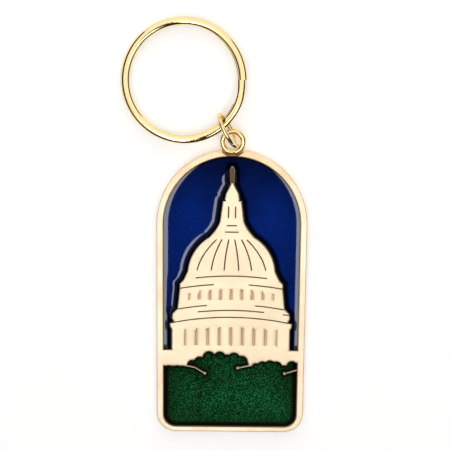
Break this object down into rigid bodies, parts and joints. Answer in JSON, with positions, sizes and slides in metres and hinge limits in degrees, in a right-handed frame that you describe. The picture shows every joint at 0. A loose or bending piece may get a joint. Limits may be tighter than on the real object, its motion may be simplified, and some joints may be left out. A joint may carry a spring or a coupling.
{
  "type": "key fob with split ring",
  "caption": "Arched struck-metal key fob with coloured enamel fields and a domed-building relief, hung by a brazed loop and a jump ring from a split key ring.",
  "frame": {"origin": "centre of the plate's flat back", "axes": "+Y along the plate towards the key ring, +Z out of the enamelled face, +X to the right as seen from the front"},
  "size_m": [0.0374, 0.0848, 0.0078],
  "materials": {
    "struck_plate": "pale gold plate, satin relief and bright rim",
    "blue_enamel": "glossy translucent dark blue enamel",
    "green_enamel": "glossy dark green enamel with a fine sparkle",
    "loop_wire": "bright gold plate",
    "jump_wire": "bright gold plate",
    "split_wire": "bright gold plate"
  },
  "bodies": {
    "fob": {"fob_plate": "struck_plate", "sky_enamel": "blue_enamel", "lawn_enamel": "green_enamel", "hanging_loop": "loop_wire"},
    "jump_ring": {"jump_ring": "jump_wire"},
    "split_ring": {"split_ring": "split_wire"}
  },
  "joints": [
    {"name": "jump_ring_swing", "type": "hinge", "parent": "fob", "child": "jump_ring", "pos_m": [0, 0.03095, 0.00245], "axis": [0, 0, 1], "range_deg": [-85, 10]},
    {"name": "split_ring_fold", "type": "hinge", "parent": "jump_ring", "child": "split_ring", "pos_m": [-0.0017, 0.0345, 0.00284], "axis": [0.7193, 0.6947, 0], "range_deg": [-55, 130]}
  ]
}
